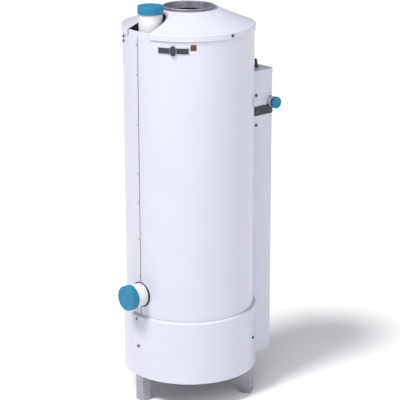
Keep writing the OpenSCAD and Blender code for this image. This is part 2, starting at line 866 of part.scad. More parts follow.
module relief_valve() {
    color(brass) translate([0, 0, relief_z]) {
        rod_y(relief_y, relief_y - 186, 11);
        translate([0, 217, 0]) rotate([90, 0, 0]) cylinder(h = 10, r = 17, $fn = 6);
        translate([0, relief_y, 0]) {
            difference() {
                translate([0, 0, -36]) cylinder(h = 36, r = outlet_pin_r);
                translate([0, 0, -37]) cylinder(h = 24, r = outlet_pin_bore);
            }
            translate([0, 0, -16]) cylinder(h = 34, r = relief_r);
            translate([0, 0, 18 - eps]) cylinder(h = 12, r = 12);
            translate([0, 0, 30 - 2 * eps]) cylinder(h = 5, r = 3.5);
            difference() {
                for (side = [-1, 1]) {
                    translate([side * 7.5 - 1, -5, 30 - 2 * eps]) cube([2, 10, 13]);
                }
                translate([0, 0, lever_lift]) rod_x(-10, 20, lever_pin_r + 0.05);
            }
        }
    }
}

module relief_lever() {
    color(galvanised) translate([0, relief_y, relief_z + lever_lift]) {
        rod_x(-9.5, 19, lever_pin_r);
        translate([-5, -2, -1]) cube([10, 40, 2]);
        translate([0, 38, -1]) cylinder(h = 2, r = 9);
    }
}

module drain_valve() {
    color(brass) turned(drain_turn) translate([0, 0, drain_z]) {
        rod_x(186, drain_r - 186, 11);
        translate([208, 0, 0]) rotate([0, 90, 0]) cylinder(h = 8, r = 16, $fn = 6);
        translate([drain_r, 0, 0]) {
            sphere(r = 16);
            difference() {
                translate([0, 0, -14]) cylinder(h = 14, r = drain_body_r);
                translate([0, 0, -35]) cylinder(h = 22, r = outlet_pin_bore);
            }
            difference() {
                translate([0, 0, -34]) cylinder(h = 34, r = outlet_pin_r);
                translate([0, 0, -35]) cylinder(h = 22, r = outlet_pin_bore);
            }
            translate([0, 0, 8]) cylinder(h = 14, r = 9);
            translate([0, 0, 22 - eps]) cylinder(h = 8, r = 3);
        }
    }
}

module drain_handle() {
    color(black) turned(drain_turn) translate([drain_r, 0, drain_z + 23]) difference() {
        union() {
            cylinder(h = 9, r = 8);
            translate([0, 0, 2]) cylinder(h = 6, r = 22);
        }
        translate([0, 0, -1]) cylinder(h = 20, r = 3.05);
        for (i = [0 : 5]) rotate([0, 0, i * 60]) {
            translate([24, 0, -1]) cylinder(h = 12, r = 6);
            rotate([0, 0, 30]) translate([14.5, 0, -1]) cylinder(h = 12, r = 3.6);
        }
    }
}

base_skirt();
skirt_screws();
base_pan();
leg_inlet_side();
leg_front();
leg_rear();
leg_screws();
heat_shield();
burner_head();
burner_mixer_tube();
burner_bracket();
pilot_burner();
pilot_tube();
gas_orifice();
gas_manifold();
burner_door();
tank_shell();
tank_heads();
flue_tube();
flue_baffle();
flue_collar();
anode_rod();
outlet_nipple();
outlet_cap();
inlet_nipple();
inlet_cap();
inlet_grommet();
insulation_blanket();
jacket_shell();
seam_rivets();
jacket_screws();
top_cover();
cover_screws();
nameplate();
nameplate_boss();
rating_label();
box_standoffs();
box_chassis();
box_housing();
box_screws();
box_panel();
panel_screws();
box_lid();
gas_bracket();
bracket_screw();
gas_nipple();
gas_cap();
gas_elbow();
gas_valve();
gas_knob();
thermostat_body();
thermostat_dial();
thermowell();
igniter_body();
igniter_washer();
igniter_button();
relief_valve();
relief_lever();
drain_valve();
drain_handle();
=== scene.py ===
"""Looks of a gas storage water heater: finishes, turned and folded detail pieces, studio and camera."""

import json
import logging
import math
from dataclasses import dataclass
from enum import Enum
from typing import Callable, Iterable, Sequence

import bmesh
import bpy
from mathutils import Matrix, Vector


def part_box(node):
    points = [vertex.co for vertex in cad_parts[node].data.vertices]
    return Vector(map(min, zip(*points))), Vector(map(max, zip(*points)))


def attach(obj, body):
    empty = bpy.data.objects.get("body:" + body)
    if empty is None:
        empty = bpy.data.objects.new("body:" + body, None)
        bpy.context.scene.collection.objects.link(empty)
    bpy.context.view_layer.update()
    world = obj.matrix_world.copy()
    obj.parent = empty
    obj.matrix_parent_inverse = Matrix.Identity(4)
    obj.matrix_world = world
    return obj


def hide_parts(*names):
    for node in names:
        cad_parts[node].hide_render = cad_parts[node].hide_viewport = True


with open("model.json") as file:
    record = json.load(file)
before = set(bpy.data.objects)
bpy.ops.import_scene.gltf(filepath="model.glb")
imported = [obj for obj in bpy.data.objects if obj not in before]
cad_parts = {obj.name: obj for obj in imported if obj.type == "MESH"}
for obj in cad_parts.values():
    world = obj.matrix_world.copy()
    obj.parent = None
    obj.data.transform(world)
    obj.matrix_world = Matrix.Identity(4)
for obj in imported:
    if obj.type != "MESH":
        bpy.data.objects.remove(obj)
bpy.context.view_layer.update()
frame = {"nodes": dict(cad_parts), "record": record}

LOG = logging.getLogger("water_heater")
MM = 0.001
BODY = "heater"

Colour = tuple[float, float, float]
Profile = Sequence[tuple[float, float]]


# ---------------------------------------------------------------- finishes


class Grain(Enum):
    """The patterns that a surface can carry."""

    CLOUD = "soft clouds"
    SPANGLE = "zinc crystals"
    DRAWN = "drawn lines"
    CAST = "sand cast skin"
    FIBRE = "loose fibres"


class NodeSheet:
    """A material's node tree, with short ways to add and join its nodes."""

    def __init__(self, name: str) -> None:
        """Start an empty tree with a shader and an output.

        Args:
            name: Name of the material.
        """
        self.material = bpy.data.materials.new(name)
        self.material.use_nodes = True
        self.tree = self.material.node_tree
        self.tree.nodes.clear()
        self.shader = self.add("ShaderNodeBsdfPrincipled")
        out = self.add("ShaderNodeOutputMaterial")
        self.join(self.shader, "BSDF", out, "Surface")

    def add(self, kind: str, sockets: dict | None = None, **settings: object) -> bpy.types.Node:
        """Add a node.

        Args:
            kind: The node's type name.
            sockets: Input values by socket name or number.
            **settings: The node's own properties.

        Returns:
            The new node.
        """
        node = self.tree.nodes.new(kind)
        for key, value in settings.items():
            setattr(node, key, value)
        for key, value in (sockets or {}).items():
            node.inputs[key].default_value = value
        return node

    def join(self, source: bpy.types.Node, out: str | int, target: bpy.types.Node, into: str | int) -> None:
        """Link one socket to another.

        Args:
            source: Node that gives the value.
            out: Its output, by name or number.
            target: Node that takes the value.
            into: Its input, by name or number.
        """
        self.tree.links.new(source.outputs[out], target.inputs[into])

    def place(self, stretch: Sequence[float]) -> bpy.types.Node:
        """Object coordinates, stretched along each axis.

        Args:
            stretch: How much the pattern is squeezed along X, Y and Z.

        Returns:
            The Mapping node.
        """
        coord = self.add("ShaderNodeTexCoord")
        mapping = self.add("ShaderNodeMapping", {"Scale": stretch})
        self.join(coord, "Object", mapping, "Vector")
        return mapping

    def noise(self, where: bpy.types.Node, size: float, detail: float = 3.0) -> bpy.types.Node:
        """Noise with features of about a given size.

        Args:
            where: Node that gives the place.
            size: Size of the features, in metres.
            detail: Number of finer layers.

        Returns:
            The noise node.
        """
        node = self.add("ShaderNodeTexNoise", {"Scale": 1.0 / size, "Detail": detail, "Roughness": 0.55})
        self.join(where, "Vector", node, "Vector")
        return node

    def span(self, source: bpy.types.Node, out: str | int, low: float, high: float,
             to: tuple[float, float]) -> bpy.types.Node:
        """Stretch a value from one range to another, held at the ends.

        Args:
            source: Node that gives the value.
            out: Its output.
            low: Value that becomes the first end.
            high: Value that becomes the second end.
            to: The two ends.

        Returns:
            The Map Range node.
        """
        node = self.add("ShaderNodeMapRange", {"From Min": low, "From Max": high,
                                               "To Min": to[0], "To Max": to[1]})
        self.join(source, out, node, "Value")
        return node

    def blend(self, fac: bpy.types.Node, out: str | int, first: Colour, second: Colour) -> bpy.types.Node:
        """Mix two colours by a value.

        Args:
            fac: Node that gives the value.
            out: Its output.
            first: Colour at 0.
            second: Colour at 1.

        Returns:
            The Mix node.
        """
        node = self.add("ShaderNodeMix", data_type="RGBA")
        node.inputs[6].default_value = (*first, 1.0)
        node.inputs[7].default_value = (*second, 1.0)
        self.join(fac, out, node, 0)
        return node

    def bump(self, height: bpy.types.Node, out: str | int, strength: float, depth: float) -> bpy.types.Node:
        """Raise the surface by a height and hand it to the shader.

        Args:
            height: Node that gives the height.
            out: Its output.
            strength: How strongly the relief shows.
            depth: Height of the relief, in metres.

        Returns:
            The Bump node.
        """
        node = self.add("ShaderNodeBump", {"Strength": strength, "Distance": depth})
        self.join(height, out, node, "Height")
        self.join(node, "Normal", self.shader, "Normal")
        return node


@dataclass(frozen=True)
class Finish:
    """A finish: two colours in patches, a range of roughness and a fine relief."""

    slot: str
    colour: Colour
    second: Colour
    grain: Grain
    patch: float
    rough: tuple[float, float]
    metal: float = 0.0
    coat: float = 0.0
    coat_rough: float = 0.08
    fine: float = 0.0015
    depth: float = 0.00005
    strength: float = 0.25
    stretch: tuple[float, float, float] = (1.0, 1.0, 1.0)

    def pattern(self, sheet: NodeSheet) -> tuple[bpy.types.Node, str]:
        """The node and the socket that hold the patch value, 0 to 1.

        Args:
            sheet: The material being made.

        Returns:
            A node and the name of its output.
        """
        where = sheet.place(self.stretch)
        if self.grain is Grain.SPANGLE:
            warp = sheet.noise(where, self.patch * 1.6, 2.0)
            push = sheet.add("ShaderNodeVectorMath", operation="MULTIPLY_ADD")
            push.inputs[1].default_value = (self.patch, self.patch, self.patch)
            sheet.join(warp, "Color", push, 0)
            sheet.join(where, "Vector", push, 2)
            cells = sheet.add("ShaderNodeTexVoronoi", {"Scale": 1.0 / self.patch})
            sheet.join(push, "Vector", cells, "Vector")
            shade = sheet.add("ShaderNodeSeparateColor")
            sheet.join(cells, "Color", shade, 0)
            return shade, "Red"
        detail = {Grain.CLOUD: 3.0, Grain.DRAWN: 5.0, Grain.CAST: 7.0, Grain.FIBRE: 9.0}[self.grain]
        node = sheet.noise(where, self.patch, detail)
        return sheet.span(node, "Fac", 0.3, 0.7, (0.0, 1.0)), "Result"

    def build(self) -> bpy.types.Material:
        """Make the material.

        Returns:
            The material, named after its slot.
        """
        sheet = NodeSheet(self.slot)
        fac, out = self.pattern(sheet)
        colour = sheet.blend(fac, out, self.colour, self.second)
        sheet.join(colour, 2, sheet.shader, "Base Color")
        rough = sheet.span(fac, out, 0.0, 1.0, self.rough)
        sheet.join(rough, "Result", sheet.shader, "Roughness")
        sheet.shader.inputs["Metallic"].default_value = self.metal
        sheet.shader.inputs["Coat Weight"].default_value = self.coat
        sheet.shader.inputs["Coat Roughness"].default_value = self.coat_rough
        relief = sheet.noise(sheet.place(self.stretch), self.fine, 2.0)
        sheet.bump(relief, "Fac", self.strength, self.depth)
        return sheet.material


WHITE_ENAMEL = Finish("white_enamel", (0.575, 0.58, 0.665), (0.595, 0.60, 0.68), Grain.CLOUD, 0.16,
                      (0.34, 0.40), coat=0.35, coat_rough=0.14, fine=0.0032, depth=0.00003, strength=0.18)
ZINC_SHEET = Finish("galvanised_steel", (0.30, 0.295, 0.34), (0.40, 0.395, 0.45), Grain.SPANGLE, 0.011,
                    (0.34, 0.52), metal=0.5, fine=0.002, depth=0.00004, strength=0.3)
ZINC_PIPE = Finish("galvanised_pipe", (0.60, 0.595, 0.63), (0.72, 0.715, 0.74), Grain.SPANGLE, 0.0065,
                   (0.42, 0.6), metal=0.18, fine=0.003, depth=0.00012, strength=0.5)
PLATED_SCREW = Finish("plated_screws", (0.10, 0.10, 0.135), (0.22, 0.22, 0.27), Grain.CLOUD, 0.004,
                      (0.22, 0.36), metal=0.95)
MILL_STEEL = Finish("plain_steel", (0.26, 0.26, 0.28), (0.40, 0.39, 0.39), Grain.DRAWN, 0.01,
                    (0.38, 0.6), metal=0.9, stretch=(1.0, 1.0, 0.12))
BLACK_IRON = Finish("malleable_iron", (0.045, 0.045, 0.05), (0.09, 0.085, 0.085), Grain.CAST, 0.006,
                    (0.5, 0.72), metal=0.5, fine=0.0012, depth=0.00015, strength=0.6)
DIE_CAST = Finish("cast_aluminium", (0.50, 0.51, 0.54), (0.62, 0.63, 0.65), Grain.CAST, 0.008,
                  (0.36, 0.5), metal=0.85, fine=0.0009, depth=0.00006, strength=0.4)
ANODE = Finish("magnesium_rod", (0.40, 0.40, 0.41), (0.52, 0.52, 0.53), Grain.CAST, 0.01,
               (0.55, 0.75), metal=0.7)
BRASS = Finish("brass", (0.62, 0.43, 0.16), (0.74, 0.55, 0.24), Grain.CAST, 0.007,
               (0.26, 0.42), metal=0.95, fine=0.0012, depth=0.00006, strength=0.3)
BLUE_CAP = Finish("blue_plastic", (0.002, 0.165, 0.31), (0.003, 0.20, 0.36), Grain.CLOUD, 0.02,
                  (0.42, 0.52), coat=0.0, fine=0.0025, depth=0.00004, strength=0.2)
BLACK_PLASTIC = Finish("black_plastic", (0.010, 0.011, 0.016), (0.018, 0.019, 0.026), Grain.CLOUD, 0.006,
                       (0.28, 0.42), fine=0.0006, depth=0.00004, strength=0.3)
BLACK_PAINT = Finish("black_paint", (0.014, 0.015, 0.024), (0.024, 0.026, 0.038), Grain.CLOUD, 0.012,
                     (0.34, 0.5), coat=0.2, fine=0.0012, depth=0.00004, strength=0.3)
RUBBER = Finish("black_rubber", (0.008, 0.008, 0.011), (0.016, 0.016, 0.019), Grain.CLOUD, 0.004,
                (0.55, 0.75), fine=0.0005, depth=0.00004, strength=0.4)
RED_WASHER = Finish("red_washer", (0.50, 0.015, 0.03), (0.62, 0.03, 0.045), Grain.CLOUD, 0.004, (0.35, 0.5))
GLASS_WOOL = Finish("glass_wool", (0.62, 0.47, 0.16), (0.80, 0.68, 0.32), Grain.FIBRE, 0.02,
                    (0.8, 0.95), fine=0.002, depth=0.0015, strength=0.9, stretch=(1.0, 1.0, 0.3))
BADGE_PLATE = Finish("badge_plate", (0.012, 0.014, 0.024), (0.022, 0.025, 0.040), Grain.DRAWN, 0.003,
                     (0.2, 0.32), coat=0.5, stretch=(1.0, 1.0, 6.0))
BADGE_METAL = Finish("badge_metal", (0.50, 0.52, 0.58), (0.66, 0.68, 0.74), Grain.DRAWN, 0.003,
                     (0.2, 0.34), metal=0.9)
LABEL_FOIL = Finish("rating_foil", (0.062, 0.038, 0.022), (0.105, 0.066, 0.040), Grain.DRAWN, 0.004,
                    (0.4, 0.55), stretch=(1.0, 1.0, 5.0))

FINISHES = (WHITE_ENAMEL, ZINC_SHEET, ZINC_PIPE, PLATED_SCREW, MILL_STEEL, BLACK_IRON, DIE_CAST, ANODE, BRASS,
            BLUE_CAP, BLACK_PLASTIC, BLACK_PAINT, RUBBER, RED_WASHER, GLASS_WOOL, BADGE_PLATE, BADGE_METAL,
            LABEL_FOIL)


class PaintShop:
    """Keeps one material per slot and dresses nodes and new pieces with them."""

    def __init__(self, finishes: Iterable[Finish]) -> None:
        """Mix every finish.

        Args:
            finishes: The finishes that the heater has.
        """
        self.materials = {finish.slot: finish.build() for finish in finishes}

    def coat(self, piece: bpy.types.Object, slot: str) -> None:
        """Give a piece one slot's material.

        Args:
            piece: The piece to dress.
            slot: Name of the material slot.
        """
        piece.data.materials.clear()
        piece.data.materials.append(self.materials[slot])

    def dress_nodes(self) -> None:
        """Give every CAD node the finish that its slot names."""
        for row in frame["record"]["subparts"]:
            node = frame["nodes"][row["node"]]
            self.coat(node, row["material_slot"])


# ---------------------------------------------------------------- workbench


class Bench:
    """The modelling tools. Each call works on one piece, selected on its own."""

    @staticmethod
    def only(piece: bpy.types.Object) -> None:
        """Select and activate one piece and nothing else.

        Args:
            piece: The piece to work on.
        """
        bpy.ops.object.select_all(action="DESELECT")
        piece.hide_set(False)
        piece.select_set(True)
        bpy.context.view_layer.objects.active = piece

    @staticmethod
    def start(name: str, primitive: Callable, **size: object) -> bpy.types.Object:
        """Add a primitive and name it.

        Args:
            name: Name of the piece.
            primitive: The operator that adds it.
            **size: The operator's own values.

        Returns:
            The new object, active and alone in the selection.
        """
        bpy.ops.object.select_all(action="DESELECT")
        primitive(**size)
        piece = bpy.context.object
        piece.name = name
        piece.data.name = name
        return piece

    @staticmethod
    def settle(piece: bpy.types.Object, smooth: float = 35.0) -> bpy.types.Object:
        """Apply the piece's place and shade it smooth below an angle.

        Args:
            piece: The finished piece.
            smooth: Angle, in degrees, above which an edge stays sharp.

        Returns:
            The same piece, with its object at the origin.
        """
        Bench.only(piece)
        bpy.ops.object.transform_apply(location=True, rotation=True, scale=True)
        bpy.ops.object.shade_smooth_by_angle(angle=math.radians(smooth))
        return piece

    @staticmethod
    def outward(piece: bpy.types.Object) -> None:
        """Merge doubles and point every face outwards.

        Args:
            piece: The piece to clean.
        """
        Bench.only(piece)
        bpy.ops.object.mode_set(mode="EDIT")
        bpy.ops.mesh.select_all(action="SELECT")
        bpy.ops.mesh.remove_doubles(threshold=1e-6)
        bpy.ops.mesh.normals_make_consistent(inside=False)
        bpy.ops.object.mode_set(mode="OBJECT")

    @staticmethod
    def turned(name: str, profile: Profile, spot: Vector, facing: Vector, steps: int = 96,
               oval: float = 1.0) -> bpy.types.Object:
        """Turn a closed profile, as on a lathe: a ring is drawn out and resized point by point.

        Args:
            name: Name of the piece.
            profile: Radius and height of each point, in metres, going round the section.
                A first and last point with the same place close the ring; a radius of 0 closes a pole.
            spot: Where height 0 lies.
            facing: Direction in which height grows.
            steps: Number of sides.
            oval: Width of the finished piece against its height.

        Returns:
            The turned piece, in place.
        """
        pole = 1e-5
        radii = [max(r, pole) for r, _ in profile]
        piece = Bench.start(name, bpy.ops.mesh.primitive_circle_add, vertices=steps, radius=radii[0],
                            location=(0.0, 0.0, profile[0][1]), fill_type="NOTHING")
        bpy.ops.object.mode_set(mode="EDIT")
        bpy.ops.mesh.select_mode(type="EDGE")
        bpy.ops.mesh.select_all(action="SELECT")
        for i in range(1, len(profile)):
            rise = profile[i][1] - profile[i - 1][1]
            bpy.ops.mesh.extrude_edges_move(TRANSFORM_OT_translate={"value": (0.0, 0.0, rise)})
            grow = radii[i] / radii[i - 1]
            bpy.ops.transform.resize(value=(grow, grow, 1.0), center_override=(0.0, 0.0, 0.0))
        bpy.ops.mesh.select_all(action="SELECT")
        bpy.ops.mesh.remove_doubles(threshold=2.5 * pole)
        bpy.ops.mesh.normals_make_consistent(inside=False)
        bpy.ops.object.mode_set(mode="OBJECT")
        turn = facing.to_track_quat("Z", "Y").to_matrix().to_4x4()
        piece.matrix_world = Matrix.Translation(spot) @ turn @ Matrix.Diagonal((oval, 1.0, 1.0, 1.0))
        return Bench.settle(piece)

    @staticmethod
    def curved_bar(name: str, radii: tuple[float, float], heights: tuple[float, float],
                   turns: tuple[float, float], steps: int = 12) -> bpy.types.Object:
        """A bar of rectangular section that follows the jacket.

        Args:
            name: Name of the piece.
            radii: Inner and outer radius, in metres.
            heights: Lower and upper height, in metres.
            turns: Start and end angle from +X, in degrees.
            steps: Number of lengths in the arc.

        Returns:
            The closed bar.
        """
        width, height = radii[1] - radii[0], heights[1] - heights[0]
        middle = Vector(((radii[0] + radii[1]) / 2, 0.0, (heights[0] + heights[1]) / 2))
        piece = Bench.start(name, bpy.ops.mesh.primitive_plane_add, size=1.0, location=middle,
                            rotation=(math.pi / 2, 0.0, 0.0))
        piece.scale = (width, height, 1.0)
        Bench.only(piece)
        bpy.ops.object.transform_apply(location=True, rotation=True, scale=True)
        bpy.ops.object.mode_set(mode="EDIT")
        bpy.ops.mesh.select_all(action="SELECT")
        bpy.ops.mesh.spin(steps=steps, angle=math.radians(turns[1] - turns[0]), center=(0.0, 0.0, 0.0),
                          axis=(0.0, 0.0, 1.0), dupli=False)
        bpy.ops.object.mode_set(mode="OBJECT")
        Bench.outward(piece)
        Bench.close(piece)
        low = min((v.co for v in piece.data.vertices), key=lambda co: math.atan2(co.y, co.x))
        high = max((v.co for v in piece.data.vertices), key=lambda co: math.atan2(co.y, co.x))
        start = turns[0] if abs(math.atan2(low.y, low.x)) < abs(math.atan2(high.y, high.x)) else turns[1]
        piece.rotation_euler = (0.0, 0.0, math.radians(start))
        return Bench.settle(piece)

    @staticmethod
    def close(piece: bpy.types.Object) -> None:
        """Fill any open ends and point the faces outwards.

        Args:
            piece: The piece to close.
        """
        Bench.only(piece)
        bpy.ops.object.mode_set(mode="EDIT")
        bpy.ops.mesh.select_all(action="DESELECT")
        bpy.ops.mesh.select_mode(type="EDGE")
        bpy.ops.mesh.select_non_manifold()
        if any(edge.select for edge in bmesh.from_edit_mesh(piece.data).edges):
            bpy.ops.mesh.fill_holes(sides=0)
        bpy.ops.mesh.select_all(action="SELECT")
        bpy.ops.mesh.normals_make_consistent(inside=False)
        bpy.ops.object.mode_set(mode="OBJECT")

    @staticmethod
    def eased(node: str, name: str, width: float, angle: float = 50.0) -> bpy.types.Object:
        """Copy a CAD node and round its sharp edges.

        Args:
            node: The CAD node.
            name: Name of the new piece.
            width: Width of the rounding, in metres.
            angle: Edges sharper than this, in degrees, are rounded.

        Returns:
            The rounded copy.
        """
        source = frame["nodes"][node]
        piece = bpy.data.objects.new(name, source.data.copy())
        piece.data.name = name
        bpy.context.scene.collection.objects.link(piece)
        Bench.only(piece)
        bpy.ops.mesh.customdata_custom_splitnormals_clear()
        bpy.ops.object.mode_set(mode="EDIT")
        bpy.ops.mesh.select_all(action="SELECT")
        bpy.ops.mesh.remove_doubles(threshold=2e-6)
        bpy.ops.mesh.dissolve_limited(angle_limit=math.radians(0.5))
        bpy.ops.object.mode_set(mode="OBJECT")
        Bench.settle(piece, 30.0)
        bevel = piece.modifiers.new("eased_edges", "BEVEL")
        bevel.width = width
        bevel.segments = 2
        bevel.limit_method = "ANGLE"
        bevel.angle_limit = math.radians(angle)
        bevel.harden_normals = True
        bpy.ops.object.modifier_apply(modifier=bevel.name)
        return piece


def fit_out(piece: bpy.types.Object, body: str, slot: str, shop: PaintShop, *nodes: str) -> bpy.types.Object:
    """Dress a finished piece, fix it to its body and hide the CAD nodes that it replaces.

    Args:
        piece: The finished piece.
        body: The body it moves with.
        slot: The material slot of its finish.
        shop: Where the finish comes from.
        *nodes: CAD nodes that it replaces.

    Returns:
        The same piece.
    """
    shop.coat(piece, slot)
    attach(piece, body)
    if nodes:
        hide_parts(*nodes)
    LOG.info("%s on %s, %d faces", piece.name, body, len(piece.data.polygons))
    return piece


# ---------------------------------------------------------------- sub-assemblies


@dataclass
class PipeStub:
    """A pipe nipple with cut threads and a moulded protector cap."""

    pipe_node: str
    cap_node: str
    facing: Vector
    pitch: float
    turns: int
    wall: float
    full_cap: float = 0.0395
    slack: float = 0.00035
    rim_width: float = 0.005
    lip: float = 0.0032

    def measures(self, node: str) -> tuple[float, float, Vector]:
        """Radius, length and root of a round node that points along the stub.

        Args:
            node: The CAD node.

        Returns:
            Its radius, its length and the middle of its inner end.
        """
        low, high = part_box(node)
        size = high - low
        along = max(range(3), key=lambda i: abs(self.facing[i]))
        root = (low + high) / 2
        root[along] = low[along] if self.facing[along] > 0 else high[along]
        return size[(along + 1) % 3] / 2, size[along], root

    def pipe(self, shop: PaintShop) -> None:
        """Make the pipe: a plain barrel, thread rings at its free end and a chamfered bore.

        Args:
            shop: Where the finishes come from.
        """
        radius, length, root = self.measures(self.pipe_node)
        depth = 0.55 * self.pitch
        start = length - self.turns * self.pitch
        profile = [(radius - self.wall, 0.0), (radius, 0.0), (radius, start - self.pitch)]
        for i in range(self.turns):
            foot = start + i * self.pitch
            profile += [(radius - depth, foot + 0.15 * self.pitch),
                        (radius - 0.0001, foot + 0.6 * self.pitch)]
        profile += [(radius - depth, length - 0.15 * self.pitch), (radius - depth - 0.0004, length),
                    (radius - self.wall + 0.0008, length), (radius - self.wall, length - 0.0012),
                    (radius - self.wall, 0.0)]
        piece = Bench.turned(self.pipe_node.replace("nipple", "pipe"), profile, root, self.facing)
        fit_out(piece, BODY, "galvanised_pipe", shop, self.pipe_node)

    def cap(self, shop: PaintShop) -> None:
        """Make the protector: a skirt with a grip band, a rolled rim and a slightly sunk face.

        Args:
            shop: Where the finishes come from.
        """
        pipe_r, _, _ = self.measures(self.pipe_node)
        radius, length, root = self.measures(self.cap_node)
        scale = radius / self.full_cap
        bore = pipe_r + self.slack
        face = radius - self.rim_width
        under = length - self.lip
        rim = 0.0024 * scale
        profile = [(bore, 0.0), (radius - 0.0008, 0.0), (radius, 0.0008), (radius, 0.003 * scale),
                   (radius - 0.0005, 0.0034 * scale), (radius - 0.0005, length * 0.36),
                   (radius, length * 0.39)]
        for i in range(7):
            bend = math.radians(90 * i / 6)
            profile.append((radius - rim + rim * math.cos(bend), length - rim + rim * math.sin(bend)))
        profile += [(face + 0.0004, length - 0.0001), (face - 0.0004, length - 0.0005),
                    (face - 0.0010, length - 0.0010), (face - 0.0018, length - 0.0012),
                    (0.12 * face, length - 0.0012), (0.09 * face, length - 0.0008), (0.0, length - 0.0008),
                    (0.0, under), (bore, under), (bore, 0.0)]
        piece = Bench.turned(self.cap_node.replace("cap", "protector"), profile, root, self.facing)
        fit_out(piece, self.cap_node, "blue_plastic", shop, self.cap_node)


@dataclass
class Badge:
    """Blank badge: a dark curved plate with a bright edge and an oval boss; and a small blank label."""

    edge: float = 0.0014
    proud: float = 0.0003
    boss_oval: float = 0.66

    def turns_of(self, node: str) -> tuple[float, float, float, float, float, float]:
        """Measure the stretch of jacket that a curved node covers.

        Args:
            node: The CAD node.

        Returns:
            Lowest and highest angle in degrees, height and radius.
        """
        points = [v.co for v in frame["nodes"][node].data.vertices]
        angles = [math.degrees(math.atan2(p.y, p.x)) for p in points]
        radii = [math.hypot(p.x, p.y) for p in points]
        heights = [p.z for p in points]
        return min(angles), max(angles), min(heights), max(heights), min(radii), max(radii)

    def plate(self, shop: PaintShop) -> None:
        """Make the plate and its bright edge.

        Args:
            shop: Where the finishes come from.
        """
        a0, a1, z0, z1, r0, r1 = self.turns_of("nameplate")
        turn = math.degrees(self.edge / r1)
        body = Bench.curved_bar("badge_plate", (r0, r1 - self.proud), (z0 + 0.0002, z1 - 0.0002),
                                (a0 + 0.05, a1 - 0.05), 24)
        fit_out(body, BODY, "badge_plate", shop, "nameplate")
        skin = (r0, r1)
        rims = [Bench.curved_bar("badge_edge", skin, (z0, z0 + self.edge), (a0, a1), 24),
                Bench.curved_bar("badge_edge_top", skin, (z1 - self.edge, z1), (a0, a1), 24),
                Bench.curved_bar("badge_edge_left", skin, (z0, z1), (a0, a0 + turn), 1),
                Bench.curved_bar("badge_edge_right", skin, (z0, z1), (a1 - turn, a1), 1)]
        Bench.only(rims[0])
        for rim in rims[1:]:
            rim.select_set(True)
        bpy.ops.object.join()
        fit_out(Bench.settle(bpy.context.object, 30.0), BODY, "badge_metal", shop)

    def boss(self, shop: PaintShop) -> None:
        """Make the oval boss: a bright rolled rim round a dark, slightly domed face.

        Args:
            shop: Where the finishes come from.
        """
        low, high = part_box("nameplate_boss")
        middle = (low + high) / 2
        facing = Vector((middle.x, middle.y, 0.0)).normalized()
        points = [v.co.dot(facing) for v in frame["nodes"]["nameplate_boss"].data.vertices]
        root, top = min(points), max(points)
        half = (high.z - low.z) / 2
        thick = top - root
        spot = Vector((facing.x * root, facing.y * root, middle.z))
        rim = [(half - 0.0024, 0.0), (half - 0.0004, 0.0), (half, thick * 0.3), (half - 0.0002, thick * 0.75),
               (half - 0.0009, thick), (half - 0.0018, thick), (half - 0.0024, thick * 0.75)]
        ring = Bench.turned("badge_boss_rim", rim + rim[:1], spot, facing, 64, self.boss_oval)
        fit_out(ring, BODY, "badge_metal", shop, "nameplate_boss")
        face = [(0.0, 0.0), (half - 0.0022, 0.0), (half - 0.0022, thick * 0.5)]
        for i in range(1, 6):
            bend = math.radians(15 * i)
            face.append(((half - 0.0022) * math.cos(bend), thick * (0.5 + 0.35 * math.sin(bend))))
        face.append((0.0, thick * 0.86))
        dome = Bench.turned("badge_boss_face", face, spot, facing, 64, self.boss_oval)
        fit_out(dome, BODY, "badge_plate", shop)

    def label(self, shop: PaintShop) -> None:
        """Make the small blank label.

        Args:
            shop: Where the finishes come from.
        """
        a0, a1, z0, z1, r0, r1 = self.turns_of("rating_label")
        base = Bench.curved_bar("label_foil", (r0, r1), (z0, z1), (a0, a1), 6)
        fit_out(base, BODY, "rating_foil", shop, "rating_label")


@dataclass
class JacketTrim:
    """The trim that finishes the jacket: the cut edge of its lap, drawn as a grey strip that also paints the
    shade at the lap step, and the rubber ring at the low stub.
    """

    lap_turn: float = 180.0
    lap_width: float = 0.0016
    ring_out: float = 0.0403

    def lap_edge_shade_line(self, shop: PaintShop) -> None:
        """Make the thin bare edge of the overlapping sheet, above and below the low stub, as a grey strip
        wider than the cut edge that also paints the shade line along the lap step.

        Args:
            shop: Where the finishes come from.
        """
        cover_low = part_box("top_cover")[0].z
        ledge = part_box("base_skirt")[1].z
        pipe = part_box("inlet_grommet")
        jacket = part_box("jacket_shell")
        radius = max(abs(jacket[0].x), abs(jacket[1].y))
        turn = math.degrees(self.lap_width / radius)
        spans = ((ledge + 0.0004, pipe[0].z - 0.0006), (pipe[1].z + 0.0006, cover_low - 0.0004))
        for i, (low, high) in enumerate(spans):
            # Painted shade: this grey strip on the white jacket stands for the sheet's cut edge and for the
            # shadow line at the lap step.
            strip = Bench.curved_bar(f"lap_edge_shade_line_{i}", (radius - 0.0006, radius + 0.0005), (low, high),
                                     (self.lap_turn - turn / 2, self.lap_turn + turn / 2), 2)
            fit_out(strip, BODY, "plain_steel", shop)

    def rubber_ring(self, shop: PaintShop) -> None:
        """Make the moulded ring that seals the low stub, with a rounded lip.

        Args:
            shop: Where the finishes come from.
        """
        low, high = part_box("inlet_grommet")
        pipe_r = (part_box("inlet_nipple")[1].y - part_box("inlet_nipple")[0].y) / 2
        inner, outer = pipe_r + 0.0002, self.ring_out
        back, front = high.x, low.x
        depth = back - front
        profile = [(inner, 0.0), (outer - 0.0006, 0.0), (outer - 0.0006, depth - 0.0022)]
        for i in range(7):
            bend = math.radians(30 * i)
            centre = (inner + outer) / 2
            profile.append((centre + (outer - centre) * math.cos(bend),
                            depth - 0.0012 + 0.0012 * math.sin(bend)))
        profile.append((inner, 0.0))
        spot = Vector((back, 0.0, (low.z + high.z) / 2))
        ring = Bench.turned("rubber_ring", profile, spot, Vector((-1.0, 0.0, 0.0)), 64)
        fit_out(ring, BODY, "black_rubber", shop, "inlet_grommet")


